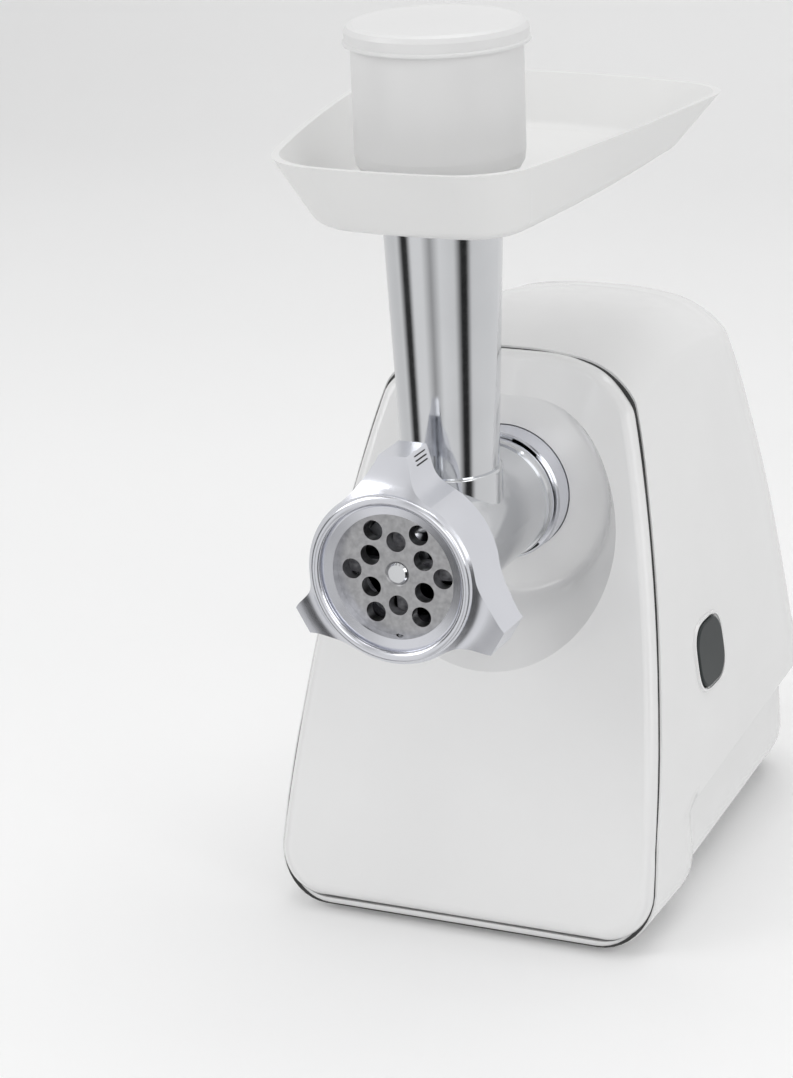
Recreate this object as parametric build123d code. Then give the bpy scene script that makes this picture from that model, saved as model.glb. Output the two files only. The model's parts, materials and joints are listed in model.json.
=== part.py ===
from build123d import *
import math
import os

# Electric meat grinder, millimetres.  Every piece is laid out about the grinding head:
# the head's axis runs along Y, the front face of the perforated disc lies at y = 0,
# +X is to the right of somebody facing the disc and +Z is up.  `save` then moves each
# piece to the stand frame, whose origin is on the surface that the feet rest on.

os.makedirs("parts", exist_ok=True)

# ---------------------------------------------------------------- driving dimensions
HEAD_HEIGHT = 170.0        # head axis above the worktop
HEAD_FORWARD = 131.1       # disc face ahead of the middle of the footprint

DISC_R = 26.75
DISC_THICK = 5.0
HOLE_R = 4.0
INNER_HOLES_R = 12.7
OUTER_HOLES_R = 18.84
PIN_R = 4.2
KEY_AT_R = 26.2

RING_OPENING_R = 24.9
RING_BORE_R = 29.9
RING_BACK_Y = 18.0

BARREL_R = 24.5
BARREL_BORE_R = 21.5
BAND_FRONT_Y = 91.7
BAND_BACK_Y = 96.8
SPIGOT_BACK_Y = 118.0
SPIGOT_R = 24.0
LUG_R = 25.6
SOCKET_BACK_Y = 120.6

TUBE_Y = 52.8
TUBE_TOP_Z = 125.5
TUBE_ROOT_R = 17.74
TUBE_FLARE = 0.0415
TUBE_WALL = 2.2

TRAY_FLOOR_Z = 126.0
TRAY_RIM_Z = 155.7
TRAY_WALL = 2.2
TRAY_SLOPE = 0.06
PUSHER_SEAT_Z = 131.2

PUSHER_R = 32.4
STEM_R = 16.6
LID_R = 34.6
LID_TOP_Z = 200.3

PARTING_Y = 100.65         # the front panel's parting plane is y = PARTING_Y + PARTING_SLOPE * z
PARTING_SLOPE = 0.321
PANEL_PROUD = 5.2
LIP = 1.2
WALL = 2.5
BOTTOM_Z = -167.0
BACK_Y = 249.0
BACK_LEAN = 0.12
BACK_ROUND = 32.0
PANEL_BOTTOM_Z = -164.0
DOME_START_Z = 10.0
DOME_FRONT_Z = 55.4
DOME_TOP_Z = 62.0

BUTTON_AT = (76.6, 134.0, -70.8)
BUTTON_TILT = 7.3
BUTTON_WIDE = 28.6
BUTTON_TALL = 26.6

FOOT_R = 9.0
FOOT_THICK = 3.0
FEET_AT = [(-50, 88), (50, 88), (-50, 243), (50, 243)]

BASE_WIDE = 112.0
BASE_FRONT_Y = 84.0
BASE_BACK_Y = 246.0
BASE_SCREWS_AT = [(-50, 104), (50, 104), (-50, 226), (50, 226)]
GLAND_AT = (-44.0, -141.0)
GLAND_R = 6.0

PRESSURE_ANGLE = math.radians(25)
BACKLASH = 0.16
OUTPUT_AT = (0.0, 0.0)
IDLER_2_AT = (0.0, -42.0)
IDLER_1_AT = (-14.0, -75.5)
MOTOR_AT = (0.0, -104.7)
CASE_SCREWS_AT = [(-39, 30), (39, 30), (-39, -114), (39, -114)]
CASE_FRONT_Y = 121.0
CASE_BACK_Y = 161.0
COVER_BACK_Y = 165.0
CORE_FRONT_Y = 184.0
CORE_BACK_Y = 214.0


# ------------------------------------------------------------------- shape helpers
def save(name, shape):
    """Write one node, moved to the stand frame."""
    moved = Pos(0, -HEAD_FORWARD, HEAD_HEIGHT) * shape
    export_step(moved, f"parts/{name}.step")


def rod(y0, y1, radius, at=(0, 0)):
    """A round bar along Y."""
    middle = Pos(at[0], (y0 + y1) / 2, at[1])
    return middle * Rot(90, 0, 0) * Cylinder(radius, y1 - y0)


def sleeve(y0, y1, outer, inner, at=(0, 0)):
    """A round tube along Y."""
    return rod(y0, y1, outer, at) - rod(y0 - 1, y1 + 1, inner, at)


def slab(face, y0, y1):
    """A face drawn in X and Z, made solid from y0 to y1."""
    back = Plane(origin=(0, y1, 0), x_dir=(1, 0, 0), z_dir=(0, -1, 0))
    return extrude(back * face, amount=y1 - y0)


def block(x0, x1, y0, y1, z0, z1):
    return Pos((x0 + x1) / 2, (y0 + y1) / 2, (z0 + z1) / 2) * Box(x1 - x0, y1 - y0, z1 - z0)


def turned(points):
    """A closed outline of (radius, y) points turned about the head axis."""
    return revolve(make_face(Polyline(*points, close=True)), axis=Axis.Y)


def upright_turned(points, y):
    """A closed outline of (radius, z) points turned about a vertical axis."""
    outline = make_face(Polyline(*points, close=True))
    return Pos(0, y, 0) * revolve(Plane.XZ * outline, axis=Axis.Z)


def join(pieces):
    whole = pieces[0]
    for piece in pieces[1:]:
        whole = whole + piece
    return whole


def polar(radius, angle):
    return (radius * math.cos(angle), radius * math.sin(angle))


def group(pieces):
    return Compound(children=[piece.solid() for piece in pieces])


# ------------------------------------------------------------------- cutting parts
def make_disc():
    disc = rod(0, DISC_THICK, DISC_R)
    disc = disc - rod(-1, DISC_THICK + 1, PIN_R + 0.05)
    disc = disc - turned([(0, -0.01), (PIN_R + 0.75, -0.01), (PIN_R, 0.7), (0, 0.7)])
    for hole in range(6):
        inner = polar(INNER_HOLES_R, math.radians(30 + 60 * hole))
        outer = polar(OUTER_HOLES_R, math.radians(60 * hole))
        disc = disc - rod(-1, DISC_THICK + 1, HOLE_R, inner)
        disc = disc - rod(-1, DISC_THICK + 1, HOLE_R, outer)
    return disc - rod(-1, DISC_THICK + 1, 2.1, (0, -KEY_AT_R))


def make_knife():
    """Four blades that sweep the back of the disc, with a square hole for the screw."""
    hub = rod(5.1, 13.0, 8.2)
    blade_shape = make_face(Polyline((2, -3.4), (24.2, -2.2), (24.2, 2.8), (2, 4.2), close=True))
    blade = slab(blade_shape, 5.1, 9.0)
    blades = [Rot(0, 90 * turn, 0) * blade for turn in range(4)]
    knife = join([hub] + blades)
    return knife - block(-4.7, 4.7, 4, 14, -4.7, 4.7)


def make_feed_screw():
    """One-start screw: nose pin, square for the knife, flight, flange, shank and square tail."""
    flight_front, flight_back = 14.0, 91.0
    wedge = make_face(Polyline((0, 0), (24, -9.5), (24, 9.5), close=True))
    section = (Circle(9) + (Circle(20.8) & wedge)).face()
    length = flight_back - flight_front
    flight = Solid.extrude_linear_with_rotation(section, (0, 0, 0), (0, 0, length), 900)
    flight = Pos(0, flight_back, 0) * Rot(90, 0, 0) * flight
    nose = rod(-0.4, 6, PIN_R)
    nose = chamfer(nose.edges().group_by(Axis.Y)[0], 0.7)
    square = block(-4.5, 4.5, 5.2, 15, -4.5, 4.5)
    core = rod(13.5, 92, 9)
    flange = rod(90.5, 94.8, 19)
    shank = rod(94, 104.5, 8)
    tail = block(-5, 5, 104, 114.4, -5, 5)
    screw = join([nose, square, core, flange, shank, tail])
    screw = screw + flight
    return screw - rod(106, 118, 2.0)


def hexagon(radius):
    return RegularPolygon(radius, 6)


def make_screw_driver():
    """Moulded hexagon on the feed screw's tail, which plugs into the gearbox."""
    driver = slab(hexagon(12), 105, 116.6)
    driver = driver - block(-5.05, 5.05, 104, 114.5, -5.05, 5.05)
    return driver - rod(104, 118, 2.3) - rod(115.4, 118, 3.8)


def make_driver_screw():
    return join([rod(107, 116, 1.95), rod(115.4, 116.5, 3.6)])


# ------------------------------------------------------------------- grinding head
def tube_radius(z):
    return TUBE_ROOT_R + TUBE_FLARE * z


def feed_tube(extra):
    """The feed tube's cone, from the head axis up to its mouth."""
    foot = tube_radius(0) + extra
    mouth = tube_radius(TUBE_TOP_Z + 2) + extra
    cone = Cone(foot, mouth, TUBE_TOP_Z + 2, align=(Align.CENTER, Align.CENTER, Align.MIN))
    return Pos(0, TUBE_Y, 0) * cone


def make_barrel():
    body = turned([(0, 0.5), (28.9, 0.5), (29.5, 1.2), (29.5, 17), (BARREL_R + 0.2, 18.5),
                   (SPIGOT_R, BAND_FRONT_Y), (SPIGOT_R, SPIGOT_BACK_Y), (0, SPIGOT_BACK_Y)])
    band = turned([(20, BAND_FRONT_Y), (24.6, BAND_FRONT_Y), (25.1, BAND_FRONT_Y + 1),
                   (25.1, BAND_BACK_Y - 1), (24.7, BAND_BACK_Y), (20, BAND_BACK_Y)])
    tube = feed_tube(0) - block(-60, 60, 0, 120, TUBE_TOP_Z, 200)
    foot = Pos(0, TUBE_Y, 13.4) * Cylinder(tube_radius(27) + 1.5, 26.8)
    foot = fillet(foot.edges().group_by(Axis.Z)[-1], 0.8)
    lugs = [bayonet_lug(turn, SPIGOT_R, LUG_R, 112.3, 116.5, 12) for turn in (0, 120, 240)]
    barrel = join([body, band, tube, foot] + lugs)
    bore = turned([(0, -1), (DISC_R + 0.15, -1), (DISC_R + 0.15, 5), (25.0, 5), (25.0, 14.5),
                   (BARREL_BORE_R, 15.5), (BARREL_BORE_R, 97), (8.1, 97), (8.1, 103),
                   (20.5, 103), (20.5, 130), (0, 130)])
    barrel = barrel - bore - feed_tube(-TUBE_WALL)
    return barrel + rod(0.5, 5.0, 1.8, (0, -KEY_AT_R))


def bayonet_lug(turn, inner, outer, y0, y1, half_angle):
    """A lug that spans an angle about the head axis, between two radii."""
    reach = outer * 1.3
    wide = reach * math.tan(math.radians(half_angle))
    wedge = make_face(Polyline((0, 0), (reach, -wide), (reach, wide), close=True))
    ring = Circle(outer) - Circle(inner - 1)
    return Rot(0, turn, 0) * slab((ring & wedge).face(), y0, y1)


def make_thrust_washer():
    return sleeve(95.0, 96.9, 14, 8.1)


def ring_profile():
    """Half section of the ring: opening, conical bezel, groove, round nose, sloping front."""
    bezel = Polyline((RING_OPENING_R, -0.05), (RING_OPENING_R, -4.1), (28.3, -5.0), (28.4, -4.4),
                     (28.9, -4.4), (29.0, -5.6))
    nose = ThreePointArc((29.0, -5.6), (30.9, -8.0), (33.4, -6.0))
    front = Spline((33.4, -6.0), (36.5, -3.4), (41.0, -1.6), (48.4, -0.2),
                   tangents=[(0.75, 0.66), (0.99, 0.14)])
    back = Polyline((48.4, -0.2), (48.4, RING_BACK_Y), (RING_BORE_R, RING_BACK_Y),
                    (RING_BORE_R, -0.05), (RING_OPENING_R, -0.05))
    return make_face(bezel + nose + front + back)


def on_ring(radius, angle, turn):
    """A point of the ring's outline; the angle is counted from the lobe's middle."""
    around = math.radians(90 + turn + angle)
    return (radius * math.cos(around), radius * math.sin(around))


def ring_outline():
    """Front view of the ring: three lobes, each with one long and one short hollow flank."""
    edges = []
    for turn in (0, 120, 240):
        short = [(34.4, -30), (34.7, -22), (36.4, -15.5), (40.5, -11.0), (44.5, -8.6), (47.1, -6.8)]
        long = [(47.1, 6.8), (44.3, 9.2), (40.5, 14.5), (37.4, 20.5), (35.2, 28), (34.4, 37)]
        edges.append(Spline(*[on_ring(radius, angle, turn) for radius, angle in short]))
        edges.append(Line(on_ring(47.1, -6.8, turn), on_ring(47.1, 6.8, turn)))
        edges.append(Spline(*[on_ring(radius, angle, turn) for radius, angle in long]))
        edges.append(ThreePointArc(on_ring(34.4, 37, turn), on_ring(34.4, 63, turn),
                                   on_ring(34.4, 90, turn)))
    return make_face(join(edges))


def make_ring():
    """Screw ring with three grip lobes."""
    return slab(ring_outline(), -10, RING_BACK_Y + 1) & revolve(ring_profile(), axis=Axis.Y)


def make_socket_ring():
    """Socket that the head plugs into, with the bayonet's groove and three entry slots."""
    socket = turned([(24.35, 97.3), (26.2, 97.3), (26.8, 98.0), (26.8, 111.5), (34, 111.5),
                     (34, SOCKET_BACK_Y), (24.35, SOCKET_BACK_Y)])
    socket = socket - sleeve(112.0, 117.0, LUG_R + 0.45, 20)
    for turn in (60, 180, 300):
        socket = socket - bayonet_lug(turn, 23, LUG_R + 0.3, 97, 114, 13.5)
    return socket


# ---------------------------------------------------------------------- feed parts
def tray_outline(narrow, front, back, inset):
    """The tray's outline at one height; the front end is the narrow one.

    narrow is how much of the width is lost, which grows towards the back.
    """
    def place(x, y):
        scale = 1 - narrow * (1 + (y + 7.0) / 300)
        across = x * scale - math.copysign(inset, x) if x else 0
        along = front + (y + 7.0) * (back - front) / 187.6
        ends = inset if y < 90 else -inset
        return (across, along + ends * (1 if y < 20 or y > 150 else 0))

    nose = ThreePointArc(place(-29, -5.4), place(0, -7), place(29, -5.4))
    nose_corner = ThreePointArc(place(29, -5.4), place(44.2, 2.4), place(52.0, 16))
    side = ThreePointArc(place(52.0, 16), place(63.5, 72), place(73.8, 148))
    tail_corner = ThreePointArc(place(73.8, 148), place(71.2, 165), place(57, 173.5))
    tail = ThreePointArc(place(57, 173.5), place(0, 180.6), place(-57, 173.5))
    right = side + tail_corner + nose_corner
    return make_face(nose + right + tail + mirror(right, about=Plane.YZ))


def tray_body(inset, lift):
    """The tray from its sloping floor to its rim, drawn in by inset and raised by lift."""
    floor_plane = Plane(origin=(0, 30, TRAY_FLOOR_Z + lift), x_dir=(1, 0, 0),
                        z_dir=(0, -TRAY_SLOPE, 1))
    floor = floor_plane * Pos(0, -30) * tray_outline(0.155, 17, 166, inset)
    rim = Pos(0, 0, TRAY_RIM_Z + lift / 8) * tray_outline(0, -7, 180.6, inset)
    return loft([floor, rim])


def rounded_floor(body, radius):
    return fillet(body.faces().sort_by(Axis.Z)[0].edges(), radius)


def make_tray():
    outer = rounded_floor(tray_body(0, 0), 10)
    inner = rounded_floor(tray_body(TRAY_WALL, TRAY_WALL), 7)
    spigot = upright_turned([(18.0, 110), (19.3, 110), (19.9, 125), (19.9, PUSHER_SEAT_Z),
                             (18.0, PUSHER_SEAT_Z)], TUBE_Y)
    seat = upright_turned([(17.0, 126.6), (29, 128.0), (29, PUSHER_SEAT_Z), (17.0, PUSHER_SEAT_Z)],
                          TUBE_Y)
    spigot = spigot + seat
    hole = Pos(0, TUBE_Y, TRAY_FLOOR_Z) * Cylinder(18.0, 20)
    return (outer - inner) + spigot - hole


def make_pusher():
    """Hollow pusher: a stem for the tube, a shoulder on the tray and a storage cup above."""
    floor = PUSHER_SEAT_Z
    outside = [(0, 45), (STEM_R - 1.5, 45), (STEM_R, 46.5), (STEM_R, floor + 0.1),
               (25.5, floor + 0.1), (25.5, 142), (26.2, 142.4), (30.2, 144.6), (31.9, 147.6),
               (PUSHER_R, 152), (PUSHER_R, 197.6)]
    inside = [(30.2, 197.6), (30.2, 152), (29, 147.6), (23.3, 144.6), (23.3, 134.0),
              (14.4, 133.0), (14.4, 47.5), (0, 47.5)]
    return upright_turned(outside + inside, TUBE_Y)


def make_lid():
    return upright_turned([(0, LID_TOP_Z), (31.6, LID_TOP_Z), (33.6, LID_TOP_Z - 0.8),
                           (LID_R, LID_TOP_Z - 2.6), (LID_R, 194.2), (35.3, 193.6), (35.3, 192.7),
                           (32.8, 192.7), (32.8, 197.9), (29.8, 197.9), (29.8, 193.9),
                           (28.2, 193.9), (28.2, 198.1), (0, 198.1)], TUBE_Y)


# ------------------------------------------------------------------------- housing
SIDE_POINTS = [(81.3, -144.8), (77.8, -93.4), (70.5, -38.0), (60.9, 9.6), (54.4, 34.4)]
SHOULDER_POINTS = [(54.4, 34.4), (50.5, 40.4), (44.0, 46.8), (37.0, 51.0), (29.6, 53.3),
                   (0.0, DOME_FRONT_Z)]


def body_outline(top, bottom, grow, stretch=1.0):
    """Front view of the body: straight foot, round lower corners, leaning sides and a dome.

    top is the dome's height, grow moves the whole outline outwards and stretch allows for
    drawing on a leaning plane.
    """
    rise = (top - DOME_START_Z) / (DOME_FRONT_Z - DOME_START_Z)

    def place(x, z):
        if z > DOME_START_Z:
            z = DOME_START_Z + (z - DOME_START_Z) * rise
        across = x + grow * min(1, x / 40)
        above = grow * max(0, min(1, (z - 20) / 30))
        return (across, (z + above) * stretch)

    side = Spline(*[place(x, z) for x, z in SIDE_POINTS], tangents=[(-0.02, 1), (-0.28, 1)])
    shoulder = Spline(*[place(x, z) for x, z in SHOULDER_POINTS], tangents=[(-0.28, 1), (-1, 0)])
    foot_x = place(60, 0)[0]
    low = (bottom - grow) * stretch
    knee = place(*SIDE_POINTS[0])
    elbow = (knee[0] - (knee[0] - foot_x) * 0.27, low + (knee[1] - low) * 0.28)
    corner = ThreePointArc((foot_x, low), elbow, knee)
    half = corner + side + shoulder
    foot = Line((-foot_x, low), (foot_x, low))
    return make_face(foot + half + mirror(half, about=Plane.YZ))


def leaning_plane(y, slope):
    """The plane y + slope * z, facing forwards; drawing on it needs a stretch."""
    return Plane(origin=(0, y, 0), x_dir=(1, 0, 0), z_dir=(0, -1, slope))


def body_solid(grow):
    """The body behind the parting plane: extruded front view, cut by a side and a top view."""
    front_view = slab(body_outline(DOME_TOP_Z, BOTTOM_Z + LIP, grow), 30, 285)
    back_y = BACK_Y + grow
    top = DOME_TOP_Z + grow
    open_y = PARTING_Y - (0 if grow > 0 else 4)
    low_y = open_y + PARTING_SLOPE * -180
    front_z = DOME_FRONT_Z + grow
    front_top = open_y + PARTING_SLOPE * front_z
    parting = Line((low_y, -180), (front_top, front_z))
    rise = ThreePointArc((front_top, front_z), (136, top - 2.2), (162, top))
    ridge = ThreePointArc((162, top), (190, top - 2.0), (214, top - 7.0))
    back_top = ThreePointArc((214, top - 7.0), (back_y - 9.5, top - 24.0), (back_y - 3.0, 20))
    back = Line((back_y - 3.0, 20), (back_y + BACK_LEAN * 180, -180))
    foot = Line((back_y + BACK_LEAN * 180, -180), (low_y, -180))
    outline = make_face(parting + rise + ridge + back_top + back + foot)
    side_plane = Plane(origin=(-100, 0, 0), x_dir=(0, 1, 0), z_dir=(1, 0, 0))
    side_view = extrude(side_plane * outline, amount=200)
    half = 84.0
    deep = back_y + BACK_LEAN * 180
    corner = BACK_ROUND + grow
    blank = make_face(Polyline((-half, 20), (half, 20), (half, deep), (-half, deep), close=True))
    blank = fillet(blank.vertices().group_by(Axis.Y)[-1], corner)
    top_view = extrude(Pos(0, 0, -180) * blank, amount=250, dir=(0, -BACK_LEAN, 1))
    return front_view & side_view & top_view


def grip_wedges(inset):
    """What the low grip bands take from each side: nothing in front, most at the back."""
    wedge = make_face(Polyline((82.6 - inset, 132), (95, 132), (95, 280), (71.5 - inset, 280),
                               close=True))
    wedge = Pos(0, 0, BOTTOM_Z - 5) * extrude(wedge, amount=36.5 + inset)
    return wedge + mirror(wedge, about=Plane.YZ)


def button_place(depth):
    """The button's own plane: z_dir points out of the leaning right wall."""
    lean = math.radians(BUTTON_TILT)
    outward = (math.cos(lean), 0, math.sin(lean))
    centre = [at + depth * way for at, way in zip(BUTTON_AT, outward)]
    return Plane(origin=tuple(centre), x_dir=(0, 1, 0), z_dir=outward)


def button_face(extra):
    return RectangleRounded(BUTTON_WIDE + extra, BUTTON_TALL + extra, 10.2 + extra / 2)


def make_shell():
    """Body behind the parting plane, open in front and in the bottom for the base plate."""
    outer = body_solid(LIP) - grip_wedges(0)
    inner = body_solid(LIP - WALL) - grip_wedges(WALL)
    shell = outer - inner
    shell = shell - block(-BASE_WIDE / 2, BASE_WIDE / 2, BASE_FRONT_Y, BASE_BACK_Y,
                          BOTTOM_Z - 1, BOTTOM_Z + WALL + 1)
    hole = extrude(button_place(-8) * button_face(0.8), amount=16)
    gland = rod(240, 280, GLAND_R + 0.05, GLAND_AT)
    posts = []
    for x, y in BASE_SCREWS_AT:
        reach = math.copysign(84, x)
        rib = block(min(x, reach), max(x, reach), y - 1, y + 1, -158, -140)
        posts.append(Pos(x, y, -150) * Cylinder(4, 25))
        posts.append((rib & outer).solid())
    shell = join([shell] + posts) - hole - gland
    for x, y in BASE_SCREWS_AT:
        shell = shell - Pos(x, y, -152) * Cylinder(1.6, 26)
    return shell


def make_base_plate():
    """Bottom cover with an inner flange, two rows of cooling slots and four screw holes."""
    middle_y = (BASE_FRONT_Y + BASE_BACK_Y) / 2
    long = BASE_BACK_Y - BASE_FRONT_Y
    pad = Pos(0, middle_y, BOTTOM_Z + WALL / 2) * Box(BASE_WIDE - 0.6, long - 0.6, WALL)
    flange = Pos(0, middle_y, BOTTOM_Z + WALL + 0.7) * Box(BASE_WIDE + 5, long + 3, 1.4)
    plate = pad + flange
    for row in range(9):
        y = middle_y - 40 + 10 * row
        for side in (-1, 1):
            slot = SlotOverall(28, 4)
            plate = plate - Pos(side * 20, y, BOTTOM_Z - 1) * extrude(slot, amount=6)
    for x, y in BASE_SCREWS_AT:
        plate = plate - Pos(x, y, BOTTOM_Z) * Cylinder(1.9, 20)
        plate = plate - Pos(x, y, BOTTOM_Z) * Cylinder(3.6, 3)
    return plate


def dish_profile(depth):
    """The flared dish about the head axis; depth moves it back for the wall behind."""
    curve = Spline((40.5 + depth * 0.35, 107.8 + depth), (47.2 + depth * 0.7, 101.4 + depth * 0.7),
                   (54.2 + depth * 0.8, 91.2 + depth * 0.6), (61.5 + depth * 0.8, 81.4 + depth * 0.6),
                   (76.0 + depth * 0.8, 60.0 + depth * 0.6), tangents=[(1, 0), (0.52, -0.85)])
    first = (40.5 + depth * 0.35, 107.8 + depth)
    last = (76.0 + depth * 0.8, 60.0 + depth * 0.6)
    rest = Polyline(last, (0, 60.0 + depth * 0.6), (0, 107.8 + depth), first)
    return make_face(curve + rest)


def panel_block(inset, back, front):
    """The panel's outline between two planes parallel to the parting plane."""
    stretch = math.sqrt(1 + PARTING_SLOPE ** 2)
    outline = body_outline(DOME_FRONT_Z, PANEL_BOTTOM_Z, -inset, stretch)
    plane = leaning_plane(PARTING_Y, PARTING_SLOPE)
    return extrude(plane.offset(back) * outline, amount=front - back)


def make_panel():
    """Front panel: a bevelled plate with a flared dish that takes the head's socket."""
    plate = panel_block(0, 0, PANEL_PROUD)
    front_edges = plate.faces().sort_by(Axis((0, 0, 0), (0, -1, PARTING_SLOPE)))[-1].edges()
    plate = fillet(front_edges, 4.8)
    hollow = panel_block(WALL + 0.6, -1, PANEL_PROUD - WALL)
    backing = revolve(dish_profile(WALL), axis=Axis.Y)
    wall = (plate - hollow) + (backing & panel_block(2.5, -30, PANEL_PROUD - 0.5))
    wall = wall - revolve(dish_profile(0), axis=Axis.Y)
    wall = wall - rod(100, 115, 27.1)
    posts = [rod(109, CASE_FRONT_Y, 3.2, (side * 37.4, 0)) for side in (-1, 1)]
    return join([wall] + posts)


# ---------------------------------------------------------- pieces fixed to the body
def make_button():
    """Push button: a crowned rounded square with a stem that reaches the switch."""
    cap = extrude(button_place(-2.5) * button_face(0), amount=3.6)
    cap = fillet(cap.faces().sort_by(Axis.X)[-1].edges(), 1.0)
    stem = extrude(button_place(-12.0) * Circle(3.0), amount=9.6)
    return cap + stem


def make_button_spring():
    return sweep_coil(button_place(-8.3), 4.6, 0.45, 5.2, 2.8)


def sweep_coil(place, radius, wire_r, length, turns):
    """A coil spring standing on a plane."""
    path = Helix(pitch=length / turns, height=length, radius=radius)
    start = Plane(origin=path @ 0, z_dir=path % 0)
    coil = sweep(start * Circle(wire_r), path=path, is_frenet=True)
    return place.location * coil


def make_switch():
    """Rocker-free push switch on the inside of the right wall, behind the button."""
    body = extrude(button_place(-28) * Rectangle(24, 18), amount=18.5)
    guide = extrude(button_place(-10) * (Circle(6.2) - Circle(3.4)), amount=1.2)
    well = extrude(button_place(-16.5) * Circle(3.4), amount=8)
    return (body + guide) - well


def make_feet():
    feet = []
    for x, y in FEET_AT:
        foot = Pos(x, y, BOTTOM_Z - FOOT_THICK / 2) * Cylinder(FOOT_R, FOOT_THICK)
        feet.append(chamfer(foot.edges().group_by(Axis.Z)[0], 0.8))
    return group(feet)


def make_gland():
    gland = rod(258, 269.8, GLAND_R, GLAND_AT) + rod(259.5, 262.2, GLAND_R + 2, GLAND_AT)
    return gland - rod(250, 280, 3.6, GLAND_AT)


def screw(at, back_y, length, head_r=3.4, thread_r=1.5):
    """A pan-head screw driven forwards, with its head's underside at back_y."""
    bolt = rod(back_y - length, back_y + 0.2, thread_r, at) + rod(back_y, back_y + 2.2, head_r, at)
    return bolt - block(at[0] - 2, at[0] + 2, back_y + 1.2, back_y + 3, at[1] - 0.4, at[1] + 0.4)


def make_base_screws():
    screws = []
    for x, y in BASE_SCREWS_AT:
        shank = Pos(x, y, BOTTOM_Z + 9.4) * Cylinder(1.55, 16)
        head = Pos(x, y, BOTTOM_Z + 0.85) * Cylinder(3.3, 1.2)
        screws.append(shank + head)
    return group(screws)


# ---------------------------------------------------------------------- gear train
def involute(base_r, radius):
    turn = math.acos(base_r / radius)
    return math.tan(turn) - turn


def gear_face(teeth, module, phase):
    """A spur gear's face; phase is the angle of one tooth's middle."""
    pitch_r = teeth * module / 2
    base_r = pitch_r * math.cos(PRESSURE_ANGLE)
    tip_r = pitch_r + 0.95 * module
    root_r = pitch_r - 1.2 * module
    half_tooth = (math.pi * module / 2 - BACKLASH) / (2 * pitch_r) + involute(base_r, pitch_r)
    start_r = max(base_r * 1.0002, root_r)
    radii = [start_r + (tip_r - start_r) * step / 3 for step in range(4)]
    flank = [(radius, half_tooth - involute(base_r, radius)) for radius in radii]
    if base_r > root_r:
        flank = [(root_r, flank[0][1])] + flank
    points = []
    for tooth in range(teeth):
        middle = phase + 2 * math.pi * tooth / teeth
        points += [polar(radius, middle - half) for radius, half in flank]
        points += [polar(radius, middle + half) for radius, half in reversed(flank)]
    return make_face(Polyline(*points, close=True))


def gear(at, teeth, module, phase, y0, y1):
    return Pos(at[0], 0, at[1]) * slab(gear_face(teeth, module, phase), y0, y1)


def meshing_phase(from_at, from_teeth, from_phase, to_at, to_teeth):
    """The phase that puts a gap of the second gear on a tooth of the first."""
    line = math.atan2(to_at[1] - from_at[1], to_at[0] - from_at[0])
    ratio = from_teeth / to_teeth
    return line + math.pi - math.pi / to_teeth - ratio * (from_phase - line)


IDLER_2_PINION_PHASE = meshing_phase(OUTPUT_AT, 48, 0, IDLER_2_AT, 12)
IDLER_1_PINION_PHASE = meshing_phase(IDLER_2_AT, 54, 0, IDLER_1_AT, 12)
MOTOR_PINION_PHASE = meshing_phase(IDLER_1_AT, 60, 0, MOTOR_AT, 12)


def make_output_gear():
    wheel = gear(OUTPUT_AT, 48, 1.4, 0, 128, 138) + rod(127.6, 141, 10)
    wheel = wheel - rod(120, 145, 6.02)
    for turn in range(6):
        window = polar(20.5, math.radians(60 * turn + 30))
        wheel = wheel - rod(120, 145, 6.0, window)
    return wheel


def make_second_idler():
    wheel = gear(IDLER_2_AT, 54, 1.1, 0, 141.4, 150)
    pinion = gear(IDLER_2_AT, 12, 1.4, IDLER_2_PINION_PHASE, 127.5, 142)
    return (wheel + pinion) - rod(120, 160, 3.05, IDLER_2_AT)


def make_first_idler():
    wheel = gear(IDLER_1_AT, 60, 0.9, 0, 151.6, 159)
    pinion = gear(IDLER_1_AT, 12, 1.1, IDLER_1_PINION_PHASE, 141, 152)
    return (wheel + pinion) - rod(120, 170, 3.05, IDLER_1_AT)


def make_motor_pinion():
    return gear(MOTOR_AT, 12, 0.9, MOTOR_PINION_PHASE, 151, 159.6) - rod(140, 170, 2.5, MOTOR_AT)


def make_idler_axles():
    return group([rod(122.5, 163.5, 3.0, at) for at in (IDLER_2_AT, IDLER_1_AT)])


def make_output_shaft():
    return rod(118.1, 163.5, 6.0)


def make_output_coupling():
    """Cup on the output shaft with a hexagonal pocket for the feed screw's driver."""
    cup = rod(106.5, 119.2, 15.5)
    return cup - slab(hexagon(12.15), 100, 118.0) - rod(110, 121, 6.02)


def make_output_bushes():
    front = sleeve(119.6, 126.5, 9.0, 6.05)
    back = sleeve(159.5, COVER_BACK_Y, 9.0, 6.05)
    return group([front, back])


def case_face(inset):
    return Pos(0, -42) * RectangleRounded(92 - 2 * inset, 166 - 2 * inset, 20 - inset)


def make_gearbox_case():
    """Tray-shaped case: front plate, side wall and four screw bosses."""
    case = slab(case_face(0), CASE_FRONT_Y, CASE_BACK_Y)
    case = case - slab(case_face(3), CASE_FRONT_Y + 4, CASE_BACK_Y + 1)
    case = case + rod(CASE_FRONT_Y, CASE_FRONT_Y + 5.5, 11.5)
    bosses = [rod(CASE_FRONT_Y, CASE_BACK_Y, 4.0, at) for at in CASE_SCREWS_AT]
    case = join([case] + bosses) - rod(119, 130, 9.0)
    for at in (IDLER_2_AT, IDLER_1_AT):
        case = case - rod(122.5, 130, 3.0, at)
    for at in CASE_SCREWS_AT:
        case = case - rod(145, 162, 1.5, at)
    return case


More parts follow.
